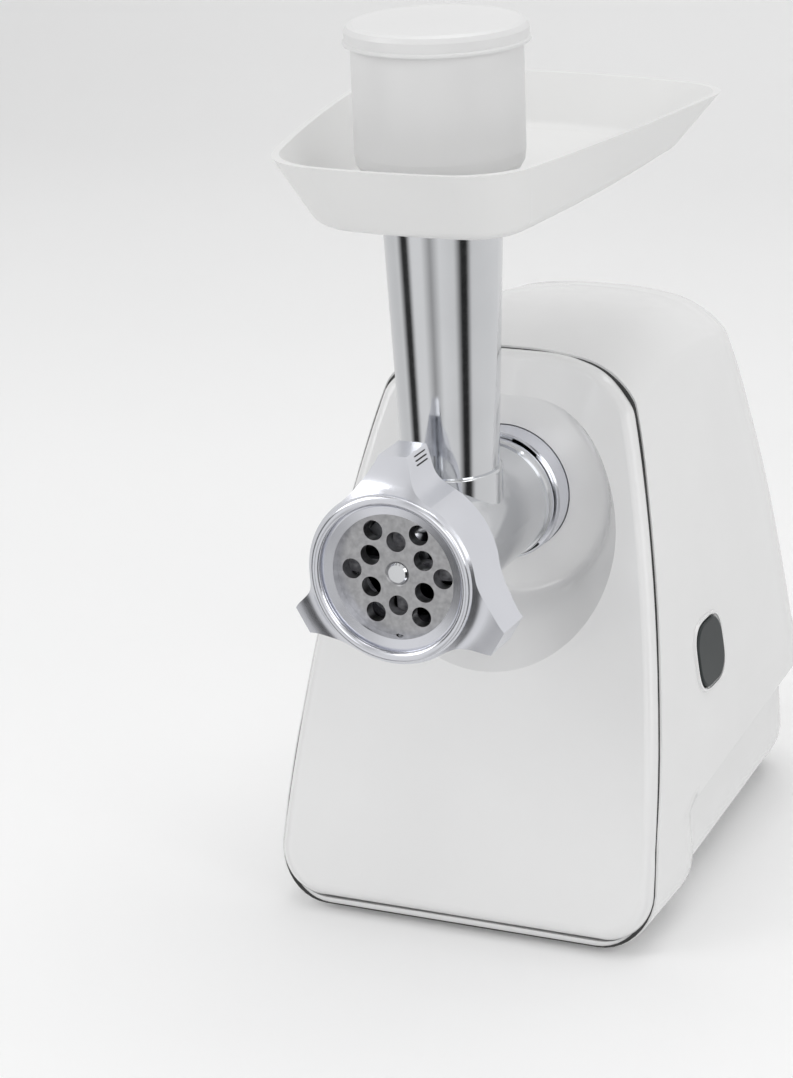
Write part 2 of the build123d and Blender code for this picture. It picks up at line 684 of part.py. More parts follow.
def make_gearbox_cover():
    cover = slab(case_face(0), CASE_BACK_Y, COVER_BACK_Y) - rod(150, 170, 9.0)
    cover = cover - rod(150, 170, 6.5, MOTOR_AT)
    for at in (IDLER_2_AT, IDLER_1_AT):
        cover = cover - rod(150, 163.5, 3.0, at)
    for at in CASE_SCREWS_AT:
        cover = cover - rod(150, 170, 1.5, at)
    return cover


def make_gearbox_screws():
    return group([screw(at, COVER_BACK_Y, 18) for at in CASE_SCREWS_AT])


# --------------------------------------------------------------------------- motor
def around_motor(shape):
    return Pos(MOTOR_AT[0], 0, MOTOR_AT[1]) * shape


CORNERS = [(-28, -24), (28, -24), (-28, 24), (28, 24)]
BRUSH_FRONT_Y, BRUSH_BACK_Y = 220.5, 228.5


def make_stator_core():
    core = slab(RectangleRounded(66, 57, 6), CORE_FRONT_Y, CORE_BACK_Y)
    core = core - rod(CORE_FRONT_Y - 1, CORE_BACK_Y + 1, 20.6)
    for x in (-19, 19):
        for z in (-18, 18):
            channel = block(x - 4.6, x + 4.6, 180, 220, z - 4.6, z + 4.6)
            core = core - channel
    return around_motor(core)


def make_field_coils():
    coils = []
    for side in (-1, 1):
        ring = block(-23, 23, 178, 220, 14.4, 22) - block(-15, 15, 183.6, 214.4, 10, 30)
        ring = fillet(ring.edges().filter_by(Axis.Z).group_by(SortBy.LENGTH)[0], 2.0)
        coils.append(ring if side > 0 else mirror(ring, about=Plane.XY))
    return group([around_motor(coil) for coil in coils])


def make_rotor_core():
    core = sleeve(CORE_FRONT_Y, CORE_BACK_Y, 20.0, 5.0)
    for turn in range(12):
        core = core - Rot(0, 30 * turn, 0) * block(10, 22, 180, 220, -1.3, 1.3)
    return around_motor(core)


def make_rotor_windings():
    """Twelve bars that lie in the rotor's slots, joined by a ring of end turns at each end."""
    bars = [Rot(0, 30 * turn, 0) * block(10.2, 13.4, 180, 218, -1.2, 1.2) for turn in range(12)]
    ends = [sleeve(y, y + 3.6, 13.4, 6.0) for y in (180.2, 214.2)]
    return around_motor(join(ends + bars))


def make_commutator():
    drum = sleeve(219, 230, 10, 3.0)
    for turn in range(12):
        drum = drum - Rot(0, 30 * turn + 15, 0) * block(8.8, 11, 218, 231, -0.3, 0.3)
    return around_motor(drum)


def make_motor_shaft():
    shaft = rod(150.5, 237, 2.5) + rod(165.5, 237, 3.0) + rod(183, 215, 5.0)
    return around_motor(shaft)


def make_cooling_fan():
    fan = rod(166.5, 168.0, 24) + rod(166.5, 171.5, 6)
    for turn in range(11):
        blade = block(5, 23.4, 167, 171.5, -0.7, 0.7)
        fan = fan + Rot(0, 360 / 11 * turn, 0) * blade
    return around_motor(fan - rod(160, 175, 3.0))


def make_carbon_brushes():
    pair = [block(10.15, 22, 221.5, 227.5, -2.5, 2.5), block(-22, -10.15, 221.5, 227.5, -2.5, 2.5)]
    return group([around_motor(brush) for brush in pair])


def make_brush_holders():
    holders = []
    for side in (-1, 1):
        holder = block(12.5, 27, BRUSH_FRONT_Y, BRUSH_BACK_Y, -3.5, 3.5)
        holder = holder - block(10, 25.5, 221.45, 227.55, -2.55, 2.55)
        holder = holder + block(20, 24, BRUSH_BACK_Y, 231.5, -3.5, 3.5)
        holders.append(around_motor(Rot(0, 0 if side > 0 else 180, 0) * holder))
    return group(holders)


def make_motor_bracket(plate_front, plate_back, legs):
    """A plate with a bearing seat and legs at the four corners of the stator."""
    plate = slab(RectangleRounded(66, 57, 6), plate_front, plate_back)
    for slot in (-1, 1):
        plate = plate - block(-16, 16, plate_front - 1, plate_back + 1, slot * 17 - 4, slot * 17 + 4)
    for x, z in CORNERS:
        for low, high in legs:
            plate = plate + rod(low, high, 3.2, (x, z))
    plate = plate - rod(plate_front - 5, plate_back + 5, 8.0)
    return around_motor(plate)


def make_motor_bearings():
    front = sleeve(173.2, 176.8, 8.0, 3.03)
    back = sleeve(231.5, 235.5, 8.0, 3.03)
    return group([around_motor(front), around_motor(back)])


def make_control_board():
    """Circuit board on the left, with a capacitor, a choke and a terminal block."""
    board = block(-61, -59.4, 150, 200, -135, -95)
    capacitor = block(-59.4, -49, 156, 168, -130, -112)
    choke = Pos(-54.4, 180, -120) * Rot(0, 90, 0) * (Cylinder(8, 10) - Cylinder(3, 12))
    terminal = block(-59.4, -50, 158, 190, -106, -98)
    return join([board, capacitor, choke, terminal])


# --------------------------------------------------------------------------- write
save("perforated_disc", make_disc())
save("cross_knife", make_knife())
save("feed_screw", make_feed_screw())
save("feed_screw_driver", make_screw_driver())
save("driver_screw", make_driver_screw())
save("grinder_barrel", make_barrel())
save("thrust_washer", make_thrust_washer())
save("screw_ring", make_ring())
save("socket_ring", make_socket_ring())
save("meat_tray", make_tray())
save("pusher_body", make_pusher())
save("pusher_lid", make_lid())
save("front_panel", make_panel())
save("housing_shell", make_shell())
save("base_plate", make_base_plate())
save("base_screws", make_base_screws())
save("rubber_feet", make_feet())
save("cord_gland", make_gland())
save("power_button", make_button())
save("button_spring", make_button_spring())
save("switch_module", make_switch())
save("control_board", make_control_board())
save("gearbox_case", make_gearbox_case())
save("gearbox_cover", make_gearbox_cover())
save("gearbox_screws", make_gearbox_screws())
save("output_gear", make_output_gear())
save("output_shaft", make_output_shaft())
save("output_coupling", make_output_coupling())
save("output_bushes", make_output_bushes())
save("second_idler_gear", make_second_idler())
save("first_idler_gear", make_first_idler())
save("idler_axles", make_idler_axles())
save("motor_pinion", make_motor_pinion())
save("motor_shaft", make_motor_shaft())
save("cooling_fan", make_cooling_fan())
save("stator_core", make_stator_core())
save("field_coils", make_field_coils())
save("rotor_core", make_rotor_core())
save("rotor_windings", make_rotor_windings())
save("commutator", make_commutator())
save("carbon_brushes", make_carbon_brushes())
save("brush_holders", make_brush_holders())
save("motor_bearings", make_motor_bearings())
save("motor_front_bracket", make_motor_bracket(173, 176.6, [(165, 173.5), (176, 184)]))
save("motor_rear_bracket", make_motor_bracket(231.5, 235.5, [(214, 232)]))
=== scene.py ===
import json
import math

import bmesh
import bpy
from mathutils import Matrix, Vector


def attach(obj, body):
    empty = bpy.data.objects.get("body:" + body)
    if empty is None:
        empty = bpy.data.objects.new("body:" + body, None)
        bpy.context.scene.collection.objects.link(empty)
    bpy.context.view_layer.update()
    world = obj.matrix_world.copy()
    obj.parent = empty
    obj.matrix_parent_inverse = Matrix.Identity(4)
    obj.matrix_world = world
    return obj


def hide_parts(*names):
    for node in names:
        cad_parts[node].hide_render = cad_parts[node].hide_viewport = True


# Electric meat grinder, metres, in the CAD frame: -Y faces the grinding disc, +Z is up.

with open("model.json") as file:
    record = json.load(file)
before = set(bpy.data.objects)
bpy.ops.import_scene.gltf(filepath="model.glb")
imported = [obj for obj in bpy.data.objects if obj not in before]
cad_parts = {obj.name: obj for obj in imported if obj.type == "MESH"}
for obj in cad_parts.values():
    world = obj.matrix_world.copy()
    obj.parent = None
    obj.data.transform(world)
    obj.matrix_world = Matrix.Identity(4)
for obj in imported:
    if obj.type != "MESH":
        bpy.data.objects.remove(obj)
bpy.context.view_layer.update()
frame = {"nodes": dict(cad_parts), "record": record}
NODES = frame["nodes"]


# ------------------------------------------------------------------ node helpers
class Graph:
    """A material's node tree with short calls for the nodes used here."""

    def __init__(self, name, base, roughness, metallic=0.0, specular=0.5):
        self.material = bpy.data.materials.new(name)
        self.material.use_nodes = True
        self.tree = self.material.node_tree
        self.shader = self.tree.nodes["Principled BSDF"]
        self.shader.inputs["Base Color"].default_value = (*base, 1)
        self.shader.inputs["Roughness"].default_value = roughness
        self.shader.inputs["Metallic"].default_value = metallic
        self.shader.inputs["Specular IOR Level"].default_value = specular
        self.place = self.add("ShaderNodeTexCoord").outputs["Object"]

    def add(self, kind, **values):
        node = self.tree.nodes.new(kind)
        for key, value in values.items():
            setattr(node, key, value)
        return node

    def link(self, output, target):
        self.tree.links.new(output, target)

    def stretched(self, scale):
        """Object coordinates scaled along each axis."""
        node = self.add("ShaderNodeMapping")
        node.inputs["Scale"].default_value = scale
        self.link(self.place, node.inputs["Vector"])
        return node.outputs["Vector"]

    def noise(self, scale, detail=3.0, vector=None):
        node = self.add("ShaderNodeTexNoise")
        node.inputs["Scale"].default_value = scale
        node.inputs["Detail"].default_value = detail
        self.link(vector or self.place, node.inputs["Vector"])
        return node.outputs["Fac"]

    def ramp(self, value, low, high, start=0.3, end=0.7):
        """A value turned into a colour between low and high."""
        node = self.add("ShaderNodeValToRGB")
        node.color_ramp.elements[0].position = start
        node.color_ramp.elements[1].position = end
        node.color_ramp.elements[0].color = (*low, 1)
        node.color_ramp.elements[1].color = (*high, 1)
        self.link(value, node.inputs["Fac"])
        return node.outputs["Color"]

    def span(self, value, low, high):
        node = self.add("ShaderNodeMapRange")
        node.inputs["To Min"].default_value = low
        node.inputs["To Max"].default_value = high
        self.link(value, node.inputs["Value"])
        return node.outputs["Result"]

    def color(self, value, low, high, start=0.3, end=0.7):
        self.link(self.ramp(value, low, high, start, end), self.shader.inputs["Base Color"])

    def rough(self, value, low, high):
        self.link(self.span(value, low, high), self.shader.inputs["Roughness"])

    def bump(self, value, strength, distance):
        node = self.add("ShaderNodeBump")
        node.inputs["Strength"].default_value = strength
        node.inputs["Distance"].default_value = distance
        self.link(value, node.inputs["Height"])
        self.link(node.outputs["Normal"], self.shader.inputs["Normal"])


def near(base, amount):
    """A colour a little lighter or darker than base."""
    return tuple(max(0.0, min(1.0, part + amount)) for part in base)


# --------------------------------------------------------------------- materials
def moulded_plastic(name, base, roughness, grain=0.04, coat=0.0):
    """Moulded plastic: faint colour drift, fine texture and uneven gloss."""
    graph = Graph(name, base, roughness)
    graph.color(graph.noise(14), near(base, -0.012), near(base, 0.012))
    graph.rough(graph.noise(55, 4), roughness - 0.04, roughness + 0.05)
    graph.bump(graph.noise(1600, 2), grain, 0.00008)
    graph.shader.inputs["Coat Weight"].default_value = coat
    graph.shader.inputs["Coat Roughness"].default_value = 0.06
    return graph.material


def polished_metal(name, base, roughness, stretch=(90, 90, 90), strength=0.05):
    """Polished or cast metal with faint polishing marks."""
    graph = Graph(name, base, roughness, metallic=1.0)
    graph.color(graph.noise(30), near(base, -0.03), near(base, 0.02))
    marks = graph.noise(4.0, 4, graph.stretched(stretch))
    graph.rough(marks, max(0.03, roughness - 0.04), roughness + 0.06)
    graph.bump(marks, strength, 0.00005)
    return graph.material


def ground_steel(name, base, roughness):
    """Surface-ground steel: fine parallel scratches over a mottled grain."""
    graph = Graph(name, base, roughness, metallic=1.0)
    mottle = graph.noise(420, 4)
    graph.color(mottle, near(base, -0.09), near(base, 0.07))
    scratches = graph.noise(6.0, 5, graph.stretched((40, 40, 320)))
    graph.rough(scratches, roughness - 0.08, roughness + 0.12)
    graph.bump(scratches, 0.25, 0.00006)
    return graph.material


def laminated_steel(name, base):
    """A stack of thin sheets along Y."""
    graph = Graph(name, base, 0.45, metallic=1.0)
    wave = graph.add("ShaderNodeTexWave", wave_type="BANDS", bands_direction="Y")
    wave.inputs["Scale"].default_value = 400
    graph.link(graph.place, wave.inputs["Vector"])
    graph.color(wave.outputs["Fac"], near(base, -0.12), near(base, 0.08))
    graph.bump(wave.outputs["Fac"], 0.5, 0.0001)
    return graph.material


def wound_copper(name, base):
    """Enamelled wire, laid side by side."""
    graph = Graph(name, base, 0.32, metallic=0.85)
    wave = graph.add("ShaderNodeTexWave", wave_type="BANDS", bands_direction="Z")
    wave.inputs["Scale"].default_value = 520
    wave.inputs["Distortion"].default_value = 1.5
    graph.link(graph.place, wave.inputs["Vector"])
    graph.color(wave.outputs["Fac"], near(base, -0.2), near(base, 0.06))
    graph.bump(wave.outputs["Fac"], 0.7, 0.0002)
    return graph.material


def rubber(name, base):
    graph = Graph(name, base, 0.72)
    graph.color(graph.noise(60), near(base, -0.01), near(base, 0.02))
    graph.bump(graph.noise(900, 3), 0.3, 0.0001)
    return graph.material


def speckled(name, base, roughness, scale, amount):
    """Pressed or woven stuff: carbon, fibre, circuit board, sintered bronze."""
    graph = Graph(name, base, roughness)
    graph.color(graph.noise(scale, 4), near(base, -amount), near(base, amount))
    graph.rough(graph.noise(scale / 4), roughness - 0.08, roughness + 0.08)
    graph.bump(graph.noise(scale, 3), 0.2, 0.00008)
    return graph.material


WHITE = (0.80, 0.80, 0.80)
MATERIALS = {
    "white_plastic": moulded_plastic("white_plastic", WHITE, 0.16, coat=0.5),
    "tray_plastic": moulded_plastic("tray_plastic", (0.76, 0.76, 0.755), 0.30),
    "pusher_plastic": moulded_plastic("pusher_plastic", (0.74, 0.74, 0.74), 0.34),
    "button_grey": moulded_plastic("button_grey", (0.014, 0.020, 0.021), 0.42, 0.10),
    "black_plastic": moulded_plastic("black_plastic", (0.02, 0.02, 0.021), 0.45, 0.10),
    "nylon_gear": moulded_plastic("nylon_gear", (0.66, 0.63, 0.52), 0.38, 0.05),
    "cast_aluminium": polished_metal("cast_aluminium", (0.74, 0.75, 0.77), 0.10),
    "ring_aluminium": polished_metal("ring_aluminium", (0.82, 0.83, 0.88), 0.22, (60, 60, 60)),
    "shaft_steel": polished_metal("shaft_steel", (0.55, 0.55, 0.57), 0.2, (200, 20, 200)),
    "zinc_screw": polished_metal("zinc_screw", (0.60, 0.60, 0.62), 0.28),
    "ground_steel": ground_steel("ground_steel", (0.50, 0.50, 0.51), 0.36),
    # Painted shade: tool_steel is kept far darker than bare steel, so that the knife seen through
    # the disc's holes looks black like the shade inside them.
    "tool_steel": ground_steel("tool_steel", (0.16, 0.16, 0.17), 0.38),
    "lamination_steel": laminated_steel("lamination_steel", (0.30, 0.31, 0.34)),
    "copper_wire": wound_copper("copper_wire", (0.60, 0.26, 0.12)),
    "commutator_copper": polished_metal("commutator_copper", (0.72, 0.38, 0.22), 0.25),
    "brass": polished_metal("brass", (0.72, 0.53, 0.24), 0.25),
    "bronze": speckled("bronze", (0.48, 0.30, 0.15), 0.4, 900, 0.06),
    "carbon": speckled("carbon", (0.03, 0.03, 0.03), 0.5, 900, 0.012),
    "circuit_board": speckled("circuit_board", (0.03, 0.16, 0.06), 0.35, 500, 0.02),
    "fibre": speckled("fibre", (0.5, 0.4, 0.26), 0.7, 700, 0.06),
    "rubber": rubber("rubber", (0.03, 0.03, 0.03)),
}
BODY_SLOTS = {part["node"]: part["material_slot"] for part in frame["record"]["subparts"]}


CAD_SPLIT_ANGLE = 32       # degrees; the CAD pieces shade as sharp above this


def finish_cad_nodes():
    """Give every CAD piece its material and smooth shading; its mesh stays as it is."""
    for name, piece in NODES.items():
        piece.data.materials.clear()
        piece.data.materials.append(MATERIALS[BODY_SLOTS[name]])
        for face in piece.data.polygons:
            face.use_smooth = True
        split = piece.modifiers.new("edges", "EDGE_SPLIT")
        split.split_angle = math.radians(CAD_SPLIT_ANGLE)


finish_cad_nodes()


# ---------------------------------------------------------------- mesh helpers
MM = 0.001
WALL = 0.0024
HEAD_Z = 0.170             # head axis above the worktop
DISC_Y = -0.1311           # front face of the perforated disc
SHARP_ANGLE = 35           # degrees; a mesh edge that folds more is drawn sharp


def from_head(x, y, z):
    """Millimetres about the head axis and the disc's face, as a point in the frame."""
    return Vector((x * MM, y * MM + DISC_Y, z * MM + HEAD_Z))


def dress(mesh, material):
    """One material, normals facing out, smooth faces and sharp edges where the skin folds."""
    mesh.materials.clear()
    mesh.materials.append(material)
    shape = bmesh.new()
    shape.from_mesh(mesh)
    bmesh.ops.recalc_face_normals(shape, faces=shape.faces)
    for face in shape.faces:
        face.smooth = True
    for edge in shape.edges:
        edge.smooth = edge.calc_face_angle(0) < math.radians(SHARP_ANGLE)
    shape.to_mesh(mesh)
    shape.free()


def new_piece(name, mesh, material):
    piece = bpy.data.objects.new(name, mesh)
    bpy.context.scene.collection.objects.link(piece)
    dress(mesh, material)
    return piece


def catmull(points, steps):
    """Points along a smooth curve that passes through the given ones."""
    out = []
    last = len(points) - 1
    for i in range(last):
        a, b, c, d = points[max(i - 1, 0)], points[i], points[i + 1], points[min(i + 2, last)]
        for step in range(steps):
            t = step / steps
            out.append(tuple(
                0.5 * (2 * q + (r - p) * t + (2 * p - 5 * q + 4 * r - s) * t * t
                       + (3 * q - p - 3 * r + s) * t ** 3)
                for p, q, r, s in zip(a, b, c, d)))
    out.append(points[-1])
    return out


def loops_mesh(name, loops, close_start=False, close_end=False):
    """A skin over closed loops of points, each with the same number of points."""
    shape = bmesh.new()
    rows = [[shape.verts.new(point) for point in loop] for loop in loops]
    for a, b in zip(rows, rows[1:]):
        for i in range(len(a)):
            j = (i + 1) % len(a)
            shape.faces.new((a[i], a[j], b[j], b[i]))
    if close_start:
        shape.faces.new(rows[0])
    if close_end:
        shape.faces.new(rows[-1])
    bmesh.ops.remove_doubles(shape, verts=shape.verts, dist=1e-7)
    bmesh.ops.recalc_face_normals(shape, faces=shape.faces)
    mesh = bpy.data.meshes.new(name)
    shape.to_mesh(mesh)
    shape.free()
    return mesh


def baked(piece):
    """The piece's mesh with its modifiers applied."""
    bpy.context.view_layer.update()
    graph = bpy.context.evaluated_depsgraph_get()
    mesh = bpy.data.meshes.new_from_object(piece.evaluated_get(graph))
    piece.modifiers.clear()
    old = piece.data
    piece.data = mesh
    bpy.data.meshes.remove(old)
    return piece


def cut(piece, cutter_meshes):
    """Cut closed meshes out of a closed piece, and drop them afterwards."""
    cutters = []
    for mesh in cutter_meshes:
        cutter = bpy.data.objects.new("cutter", mesh)
        bpy.context.scene.collection.objects.link(cutter)
        modifier = piece.modifiers.new("cut", "BOOLEAN")
        modifier.operation = "DIFFERENCE"
        modifier.solver = "EXACT"
        modifier.object = cutter
        cutters.append(cutter)
    baked(piece)
    for cutter in cutters:
        bpy.data.objects.remove(cutter)
    return piece


# -------------------------------------------------------------- housing shell
BODY_BOTTOM = -167.0
BODY_HALF = 82.0           # half width that the round back narrows in proportion to
BODY_SIDE = [(82.5, -144.8), (81.6, -131.2), (81.5, -129.8), (79.0, -93.4), (71.7, -38.0),
             (62.1, 9.6), (55.5, 35.0), (52.0, 42.0), (45.6, 47.9), (38.3, 52.0), (30.2, 54.4),
             (19.0, 55.9), (9.0, 56.5), (0.0, 56.6)]
CORNER_R = 22.0
BACK_R = 33.2
BACK_LOW_Y = 270.2         # the back wall at the height of the foot
BACK_RISE = 0.03           # the foot lifts a little as it goes round the back
BACK_LEAN = 0.12
FRONT_LOW_Y = 47.0
FRONT_LEAN = 0.321
LEAN_EASE = 0.65           # share of the change of lean that is eased, not even
DOME_START_Z = 5.0         # above this height the outline rises with the ridge
SHELL_ROWS = 34            # loops from the parting line to the start of the round back
BACK_STEPS = 10            # loops round the back corner
STEP_Z = -130.5            # where the outline has close points for the grip's upper edge
STEP_REACH_LOW = 14.3      # how far below and above STEP_Z the outline still follows the grip
STEP_REACH_HIGH = 37.1
GRIP_INNER_X = 36.0        # the recess fades in between these two widths
GRIP_OUTER_X = 70.0
FOLLOW_X = 60.0            # only points further out than this follow the grip's edge
GRIP_END_Y = 230.0
GRIP_FRONT_Y = 94.0        # the grip recess starts here and deepens towards the back
GRIP_FRONT_Z = -124.0
GRIP_RISE = 0.088
GRIP_RUN_IN = 14.0
GRIP_DEPTH = 5.0
GRIP_DEEPEN = 0.045
RIDGE_PEAK = 6.3
RIDGE_BACK = 1.6


def half_outline():
    """Right half of the body seen from the front, from the foot's middle to the ridge."""
    low_x = BODY_SIDE[0][0] - CORNER_R
    points = [(low_x * part, BODY_BOTTOM) for part in (0, 0.5, 0.93)]
    for angle in range(0, 90, 9):
        turn = math.radians(angle)
        points.append((low_x + CORNER_R * math.sin(turn),
                       BODY_BOTTOM + CORNER_R * (1 - math.cos(turn))))
    return points + catmull(BODY_SIDE, 5)


def ridge_height(low_y, lean, back_start):
    """How far the dome stands above its front edge, by where the row's top lies along Y."""
    arm = BODY_SIDE[-1][1] - BODY_BOTTOM
    front = FRONT_LOW_Y + FRONT_LEAN * arm
    back = back_start - BACK_LEAN * arm
    part = max(0.0, min(1.0, (low_y + lean * arm - front) / (back - front)))
    return RIDGE_PEAK * math.sin(math.pi * part) + RIDGE_BACK * part


def grip_inset(y):
    start = max(0.0, min(1.0, (y - GRIP_FRONT_Y) / GRIP_RUN_IN))
    deeper = max(0.0, min(GRIP_END_Y, y) - GRIP_FRONT_Y - GRIP_RUN_IN) * GRIP_DEEPEN
    return GRIP_DEPTH * start * start * (3 - 2 * start) + deeper


def follow_grip(z, y):
    """Move the outline's close points so that they follow the grip's rising upper edge."""
    top = GRIP_FRONT_Z + (y - GRIP_FRONT_Y) * GRIP_RISE
    reach = STEP_REACH_LOW if z < STEP_Z else STEP_REACH_HIGH
    return z + (top - STEP_Z) * max(0.0, 1 - abs(z - STEP_Z) / reach)


def shell_loop(low_y, lean, rise, squeeze):
    """One closed loop of the shell; low_y is where its plane meets the foot."""
    right = []
    for x, z in half_outline():
        dome = max(0.0, (z - DOME_START_Z) / (BODY_SIDE[-1][1] - DOME_START_Z))
        across = x * (1 - squeeze / BODY_HALF)
        height = z + (rise - squeeze) * dome * dome * (3 - 2 * dome)
        if z < 0:
            height = z + squeeze * BACK_RISE
        y = low_y + lean * (height - BODY_BOTTOM)
        if z < STEP_Z:
            fade = (x - GRIP_INNER_X) / (GRIP_OUTER_X - GRIP_INNER_X)
            across -= grip_inset(y) * max(0.0, min(1.0, fade))
        if x > FOLLOW_X:
            height = follow_grip(height, y)
        right.append((across, y, height))
    left = [(-x, y, z) for x, y, z in right[1:-1]]
    return [from_head(*point) for point in right + left[::-1]]


def drawn_in(loop, turn):
    """The loop one wall further in; turn goes from the sides (0) round to the back."""
    middle = from_head(0, 0, -60)
    points = []
    for point in loop:
        out = Vector((point.x - middle.x, 0, point.z - middle.z)).normalized()
        out = out * math.cos(turn) + Vector((0, math.sin(turn), 0))
        points.append(point - out * WALL)
    return points


def make_shell():
    """Body behind the parting line: domed on top, with a round back and low grip bands."""
    loops = []
    inner = []
    back_start = BACK_LOW_Y - BACK_R
    for row in range(SHELL_ROWS):
        part = row / (SHELL_ROWS - 1)
        low_y = FRONT_LOW_Y + (back_start - FRONT_LOW_Y) * part
        ease = part * part * (3 - 2 * part)
        blend = part + (ease - part) * LEAN_EASE
        lean = FRONT_LEAN + (-BACK_LEAN - FRONT_LEAN) * blend
        rise = ridge_height(low_y, lean, back_start)
        loops.append(shell_loop(low_y, lean, rise, 0.0))
        inner.append(drawn_in(loops[-1], 0))
    for step in range(1, BACK_STEPS + 1):
        turn = math.radians(90 / BACK_STEPS * step)
        low_y = back_start + BACK_R * math.sin(turn)
        squeeze = BACK_R * (1 - math.cos(turn))
        loops.append(shell_loop(low_y, -BACK_LEAN, RIDGE_BACK, squeeze))
        inner.append(drawn_in(loops[-1], turn))
    mesh = loops_mesh("housing_shell_skin", inner[::-1] + loops, True, True)
    shell = new_piece("housing_shell_skin", mesh, MATERIALS["white_plastic"])
    cut(shell, [base_cutter(), button_cutter(0.4 * MM), gland_cutter()])
    dress(shell.data, MATERIALS["white_plastic"])
    return shell


def box_mesh(low, high):
    shape = bmesh.new()
    bmesh.ops.create_cube(shape, size=1)
    for vert in shape.verts:
        vert.co = Vector([b if side > 0 else a for a, b, side in zip(low, high, vert.co)])
    mesh = bpy.data.meshes.new("cutter")
    shape.to_mesh(mesh)
    shape.free()
    return mesh


BASE_HALF = 56.0           # the opening that the bottom plate closes
BASE_FRONT_Y = 84.0
BASE_BACK_Y = 246.0


def base_cutter():
    low = from_head(-BASE_HALF, BASE_FRONT_Y, 0)
    high = from_head(BASE_HALF, BASE_BACK_Y, 0)
    return box_mesh((low.x, low.y, -0.01), (high.x, high.y, 0.006))


BUTTON_AT = (76.6, 134.0, -70.8)
BUTTON_LEAN = math.radians(7.3)
BUTTON_HALF = (14.3 * MM, 13.3 * MM)
BUTTON_SQUARENESS = 3.2    # power of the superellipse; 2 would be an ellipse
BUTTON_STEPS = 64


def button_loop(grow, out):
    """The button's rounded outline, at a height out of the wall."""
    outward = Vector((math.cos(BUTTON_LEAN), 0, math.sin(BUTTON_LEAN)))
    along = Vector((0, 1, 0))
    up = outward.cross(along)
    centre = from_head(*BUTTON_AT) + outward * out
    points = []
    power = BUTTON_SQUARENESS
    for step in range(BUTTON_STEPS):
        turn = 2 * math.pi * step / BUTTON_STEPS
        c, s = math.cos(turn), math.sin(turn)
        reach = (abs(c) ** power + abs(s) ** power) ** (-1 / power)
        a = (BUTTON_HALF[0] + grow) * reach * c
        b = (BUTTON_HALF[1] + grow) * reach * s
        points.append(centre + along * a + up * b)
    return points


def button_cutter(gap):
    """A plug for the button's opening, flared where it leaves the wall."""
    flare = 1.2 * MM
    steps = ((gap, -8 * MM), (gap, -0.6 * MM), (gap + flare, 1.5 * MM))
    loops = [button_loop(grow, out) for grow, out in steps]
    return loops_mesh("cutter", loops, True, True)


GLAND_X = -44.0
GLAND_Z = -141.0
GLAND_HOLE_R = 6.1
GLAND_STEPS = 32


def gland_cutter():
    rings = []
    for y in (250, 285):
        ring = []
        for i in range(GLAND_STEPS):
            turn = 2 * math.pi * i / GLAND_STEPS
            ring.append(from_head(GLAND_X + GLAND_HOLE_R * math.cos(turn), y,
                                  GLAND_Z + GLAND_HOLE_R * math.sin(turn)))
        rings.append(ring)
    return loops_mesh("cutter", rings, True, True)


def make_parting_strip():
    """Painted shade: a thin strip in the dark rubber material that stands in for the shadow in
    the gap between the front panel and the shell.
    """
    edges = ((-0.9, 0.9), (0.5, 0.9), (0.5, 3.0), (-0.9, 3.0), (-0.9, 0.9))
    loops = [shell_loop(FRONT_LOW_Y + y, FRONT_LEAN, 0.0, squeeze) for y, squeeze in edges]
    mesh = loops_mesh("parting_shade_strip", loops)
    # The dark rubber material paints the gap's shadow.
    return new_piece("parting_shade_strip", mesh, MATERIALS["rubber"])


def make_button_rim():
    """A fine raised lip round the button's opening."""
    edges = ((0.9, -1.0), (0.9, 0.55), (1.3, 0.75), (1.8, 0.6), (2.3, -1.0), (0.9, -1.0))
    loops = [button_loop(grow * MM, out * MM) for grow, out in edges]
    return new_piece("button_rim", loops_mesh("button_rim", loops), MATERIALS["white_plastic"])


shell = make_shell()
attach(shell, "body")
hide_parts("housing_shell")
rim = make_button_rim()
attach(rim, "body")
# Painted shade strip in the parting gap.
strip = make_parting_strip()
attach(strip, "body")


# ------------------------------------------------------------ painted shade lines on the ring
FLANK_SHADE_LINES = ((45.6, -7.9), (44.0, -9.0), (42.4, -9.9))   # radius, degrees from the lobe's middle


def make_flank_shade_lines():
    """Painted shade: three fine dark lines along the short flank of each lobe of the screw ring.
    """
    shape = bmesh.new()
    for turn in (0, 120, 240):
        for radius, angle in FLANK_SHADE_LINES:
            around = math.radians(90 + turn + angle)
            spot = from_head(radius * math.cos(around), 10.5, radius * math.sin(around))
            size = Matrix.Diagonal((0.45 * MM, 9.0 * MM, 0.45 * MM, 1))
            lean = Matrix.Rotation(-math.radians(turn), 4, "Y")
            bmesh.ops.create_cube(shape, size=1, matrix=Matrix.Translation(spot) @ lean @ size)
    mesh = bpy.data.meshes.new("ring_flank_shade_lines")
    shape.to_mesh(mesh)
    shape.free()
    # The dark rubber material paints the shade on each lobe's flank.
    return new_piece("ring_flank_shade_lines", mesh, MATERIALS["rubber"])


lines = make_flank_shade_lines()
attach(lines, "ring")


